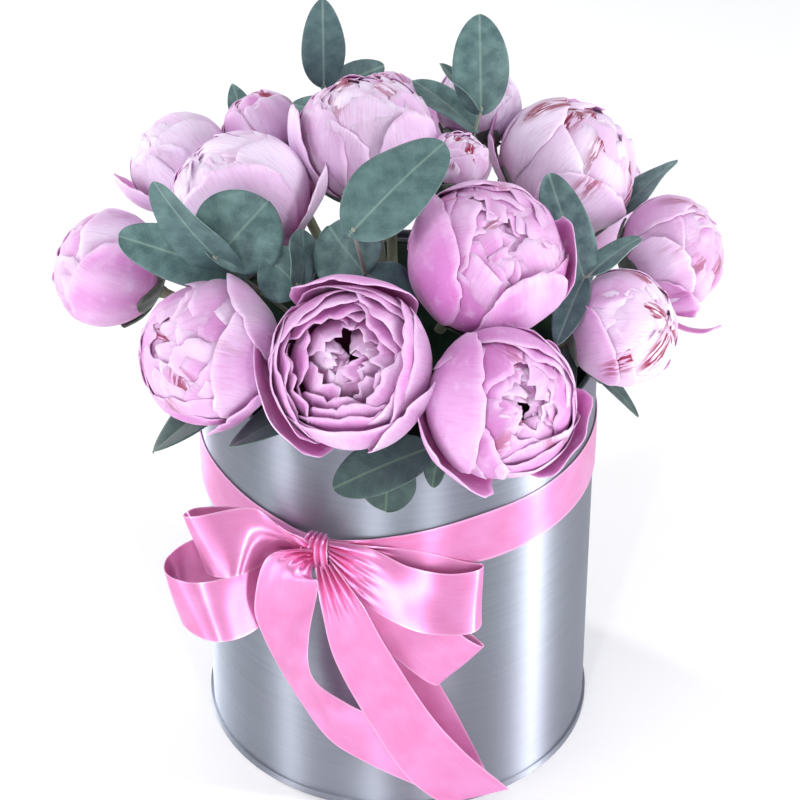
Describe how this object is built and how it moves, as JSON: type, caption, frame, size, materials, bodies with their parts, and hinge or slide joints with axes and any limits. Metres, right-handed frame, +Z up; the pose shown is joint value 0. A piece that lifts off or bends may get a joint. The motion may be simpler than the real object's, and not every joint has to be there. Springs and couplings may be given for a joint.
{
  "type": "flower box",
  "caption": "Round brushed metal flower box with a satin bow, filled with peonies and eucalyptus sprigs standing in a lined foam block.",
  "frame": {"origin": "centre of the base, on the surface that the box stands on", "axes": "+Z up, the bow at the front towards -Y, +X to the right seen from the front"},
  "size_m": [0.3353, 0.3039, 0.3721],
  "materials": {
    "brushed_metal": "satin",
    "liner": "satin",
    "foam": "matte",
    "satin_ribbon": "satin",
    "petals": "matte",
    "peony_greens": "satin",
    "eucalyptus": "matte"
  },
  "bodies": {
    "box": {"box_wall": "brushed_metal", "box_base": "brushed_metal", "ribbon_band": "satin_ribbon", "bow_knot": "satin_ribbon", "bow_loop_left_upper": "satin_ribbon", "bow_loop_left_lower": "satin_ribbon", "bow_loop_right_upper": "satin_ribbon", "bow_loop_right_lower": "satin_ribbon", "ribbon_tail_left": "satin_ribbon", "ribbon_tail_centre": "satin_ribbon", "ribbon_tail_right": "satin_ribbon"},
    "insert": {"liner": "liner", "foam_lower": "foam", "foam_upper": "foam"},
    "peony_01": {"peony_01_stem": "peony_greens", "peony_01_bloom": "petals"},
    "peony_02": {"peony_02_stem": "peony_greens", "peony_02_bloom": "petals"},
    "peony_03": {"peony_03_stem": "peony_greens", "peony_03_bloom": "petals"},
    "peony_04": {"peony_04_stem": "peony_greens", "peony_04_bloom": "petals"},
    "peony_05": {"peony_05_stem": "peony_greens", "peony_05_bloom": "petals"},
    "peony_06": {"peony_06_stem": "peony_greens", "peony_06_bloom": "petals"},
    "peony_07": {"peony_07_stem": "peony_greens", "peony_07_bloom": "petals"},
    "peony_08": {"peony_08_stem": "peony_greens", "peony_08_bloom": "petals"},
    "peony_09": {"peony_09_stem": "peony_greens", "peony_09_bloom": "petals"},
    "peony_10": {"peony_10_stem": "peony_greens", "peony_10_bloom": "petals"},
    "peony_11": {"peony_11_stem": "peony_greens", "peony_11_bloom": "petals"},
    "peony_12": {"peony_12_stem": "peony_greens", "peony_12_bloom": "petals"},
    "peony_13": {"peony_13_stem": "peony_greens", "peony_13_bloom": "petals"},
    "peony_14": {"peony_14_stem": "peony_greens", "peony_14_bloom": "petals"},
    "peony_15": {"peony_15_stem": "peony_greens", "peony_15_bloom": "petals"},
    "peony_16": {"peony_16_stem": "peony_greens", "peony_16_bloom": "petals"},
    "peony_17": {"peony_17_stem": "peony_greens", "peony_17_bloom": "petals"},
    "peony_18": {"peony_18_stem": "peony_greens", "peony_18_bloom": "petals"},
    "eucalyptus_01": {"eucalyptus_01": "eucalyptus"},
    "eucalyptus_02": {"eucalyptus_02": "eucalyptus"},
    "eucalyptus_03": {"eucalyptus_03": "eucalyptus"},
    "eucalyptus_04": {"eucalyptus_04": "eucalyptus"},
    "eucalyptus_05": {"eucalyptus_05": "eucalyptus"},
    "eucalyptus_06": {"eucalyptus_06": "eucalyptus"},
    "eucalyptus_07": {"eucalyptus_07": "eucalyptus"},
    "eucalyptus_08": {"eucalyptus_08": "eucalyptus"},
    "eucalyptus_09": {"eucalyptus_09": "eucalyptus"},
    "eucalyptus_10": {"eucalyptus_10": "eucalyptus"}
  },
  "joints": [
    {"name": "insert_lift", "type": "slide", "parent": "box", "child": "insert", "axis": [0, 0, 1], "range_m": [0, 0.24]},
    {"name": "peony_01_pull", "type": "slide", "parent": "insert", "child": "peony_01", "axis": [-0.6683, -0.5221, 0.5299], "range_m": [0, 0.05]},
    {"name": "peony_02_pull", "type": "slide", "parent": "insert", "child": "peony_02", "axis": [-0.1616, -0.7602, 0.6293], "range_m": [0, 0.05]},
    {"name": "peony_03_pull", "type": "slide", "parent": "insert", "child": "peony_03", "axis": [0.3522, -0.7912, 0.5], "range_m": [0, 0.05]},
    {"name": "peony_04_pull", "type": "slide", "parent": "insert", "child": "peony_04", "axis": [0.3171, -0.4059, 0.8572], "range_m": [0, 0.05]},
    {"name": "peony_05_pull", "type": "slide", "parent": "insert", "child": "peony_05", "axis": [0.827, -0.2847, 0.4848], "range_m": [0, 0.05]},
    {"name": "peony_06_pull", "type": "slide", "parent": "insert", "child": "peony_06", "axis": [0.5906, 0.341, 0.7314], "range_m": [0, 0.05]},
    {"name": "peony_07_pull", "type": "slide", "parent": "insert", "child": "peony_07", "axis": [0.88, 0.1394, 0.454], "range_m": [0, 0.05]},
    {"name": "peony_08_pull", "type": "slide", "parent": "insert", "child": "peony_08", "axis": [-0.5722, 0.04, 0.8192], "range_m": [0, 0.05]},
    {"name": "peony_09_pull", "type": "slide", "parent": "insert", "child": "peony_09", "axis": [-0.6826, 0.3478, 0.6428], "range_m": [0, 0.05]},
    {"name": "peony_10_pull", "type": "slide", "parent": "insert", "child": "peony_10", "axis": [-0.9085, 0.0955, 0.4067], "range_m": [0, 0.05]},
    {"name": "peony_11_pull", "type": "slide", "parent": "insert", "child": "peony_11", "axis": [-0.1165, 0.2498, 0.9613], "range_m": [0, 0.05]},
    {"name": "peony_12_pull", "type": "slide", "parent": "insert", "child": "peony_12", "axis": [-0.4527, 0.4372, 0.7771], "range_m": [0, 0.05]},
    {"name": "peony_13_pull", "type": "slide", "parent": "insert", "child": "peony_13", "axis": [-0.039, 0.5578, 0.829], "range_m": [0, 0.05]},
    {"name": "peony_14_pull", "type": "slide", "parent": "insert", "child": "peony_14", "axis": [0.2693, 0.5064, 0.8192], "range_m": [0, 0.05]},
    {"name": "peony_15_pull", "type": "slide", "parent": "insert", "child": "peony_15", "axis": [0.2264, 0.1255, 0.9659], "range_m": [0, 0.05]},
    {"name": "peony_16_pull", "type": "slide", "parent": "insert", "child": "peony_16", "axis": [0.6681, 0.623, 0.4067], "range_m": [0, 0.05]},
    {"name": "peony_17_pull", "type": "slide", "parent": "insert", "child": "peony_17", "axis": [0.1251, 0.89, 0.4384], "range_m": [0, 0.05]},
    {"name": "peony_18_pull", "type": "slide", "parent": "insert", "child": "peony_18", "axis": [-0.4976, 0.7662, 0.4067], "range_m": [0, 0.05]},
    {"name": "eucalyptus_01_pull", "type": "slide", "parent": "insert", "child": "eucalyptus_01", "axis": [-0.5962, -0.3038, 0.7431], "range_m": [0, 0.05]},
    {"name": "eucalyptus_02_pull", "type": "slide", "parent": "insert", "child": "eucalyptus_02", "axis": [-0.1294, -0.4513, 0.8829], "range_m": [0, 0.05]},
    {"name": "eucalyptus_03_pull", "type": "slide", "parent": "insert", "child": "eucalyptus_03", "axis": [-0.2333, 0.524, 0.8192], "range_m": [0, 0.05]},
    {"name": "eucalyptus_04_pull", "type": "slide", "parent": "insert", "child": "eucalyptus_04", "axis": [0.2722, 0.3023, 0.9135], "range_m": [0, 0.05]},
    {"name": "eucalyptus_05_pull", "type": "slide", "parent": "insert", "child": "eucalyptus_05", "axis": [0.6872, -0.2501, 0.682], "range_m": [0, 0.05]},
    {"name": "eucalyptus_06_pull", "type": "slide", "parent": "insert", "child": "eucalyptus_06", "axis": [0.779, 0.2835, 0.5592], "range_m": [0, 0.05]},
    {"name": "eucalyptus_07_pull", "type": "slide", "parent": "insert", "child": "eucalyptus_07", "axis": [-0.5068, 0.5435, 0.6691], "range_m": [0, 0.05]},
    {"name": "eucalyptus_08_pull", "type": "slide", "parent": "insert", "child": "eucalyptus_08", "axis": [-0.3933, -0.4368, 0.809], "range_m": [0, 0.05]},
    {"name": "eucalyptus_09_pull", "type": "slide", "parent": "insert", "child": "eucalyptus_09", "axis": [-0.2094, 0.7815, 0.5878], "range_m": [0, 0.05]},
    {"name": "eucalyptus_10_pull", "type": "slide", "parent": "insert", "child": "eucalyptus_10", "axis": [0.4145, 0.718, 0.5592], "range_m": [0, 0.05]}
  ]
}
